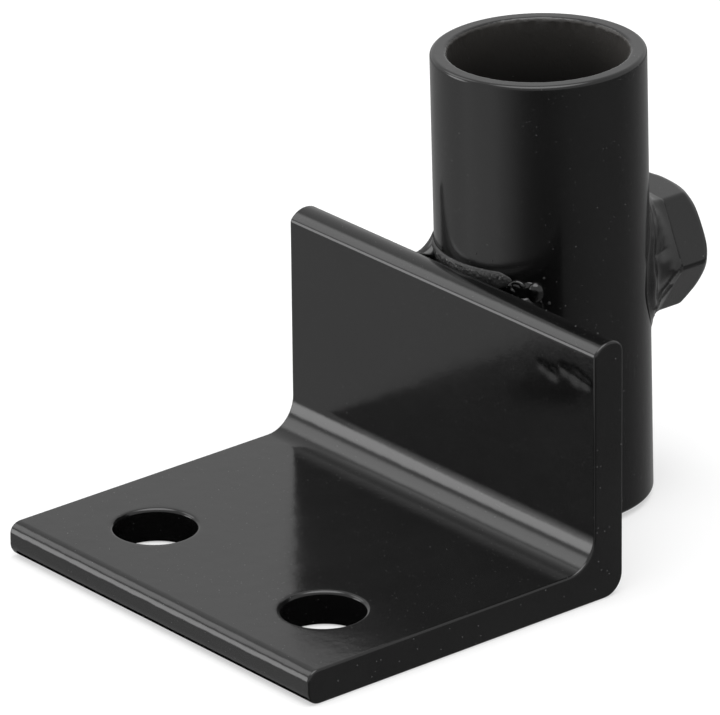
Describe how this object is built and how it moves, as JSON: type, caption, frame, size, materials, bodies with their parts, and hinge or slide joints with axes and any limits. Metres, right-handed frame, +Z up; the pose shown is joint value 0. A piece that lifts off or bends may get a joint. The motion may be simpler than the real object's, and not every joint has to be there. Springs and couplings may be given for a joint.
{
  "type": "angle bracket",
  "caption": "Welded angle bracket: a drilled base and upright carry a round pole socket with a set screw nut.",
  "frame": {"origin": "midway between the two bolt holes, on the underside of the base", "axes": "+X along the angle's length and the line of bolt holes, +Y from the base's toe to the heel and the pole socket, +Z up"},
  "size_m": [0.0888, 0.1291, 0.0908],
  "materials": {
    "black_paint": "gloss black paint on rolled steel",
    "black_paint_tube": "gloss black paint on steel tube, half matt inside",
    "black_paint_nut": "gloss black paint on a steel nut",
    "black_paint_weld": "gloss black paint over weld metal"
  },
  "bodies": {
    "root": {"angle": "black_paint", "pole_socket": "black_paint_tube", "set_screw_nut": "black_paint_nut", "left_seam_weld": "black_paint_weld", "right_seam_weld": "black_paint_weld", "top_weld": "black_paint_weld", "nut_weld": "black_paint_weld"}
  },
  "joints": []
}
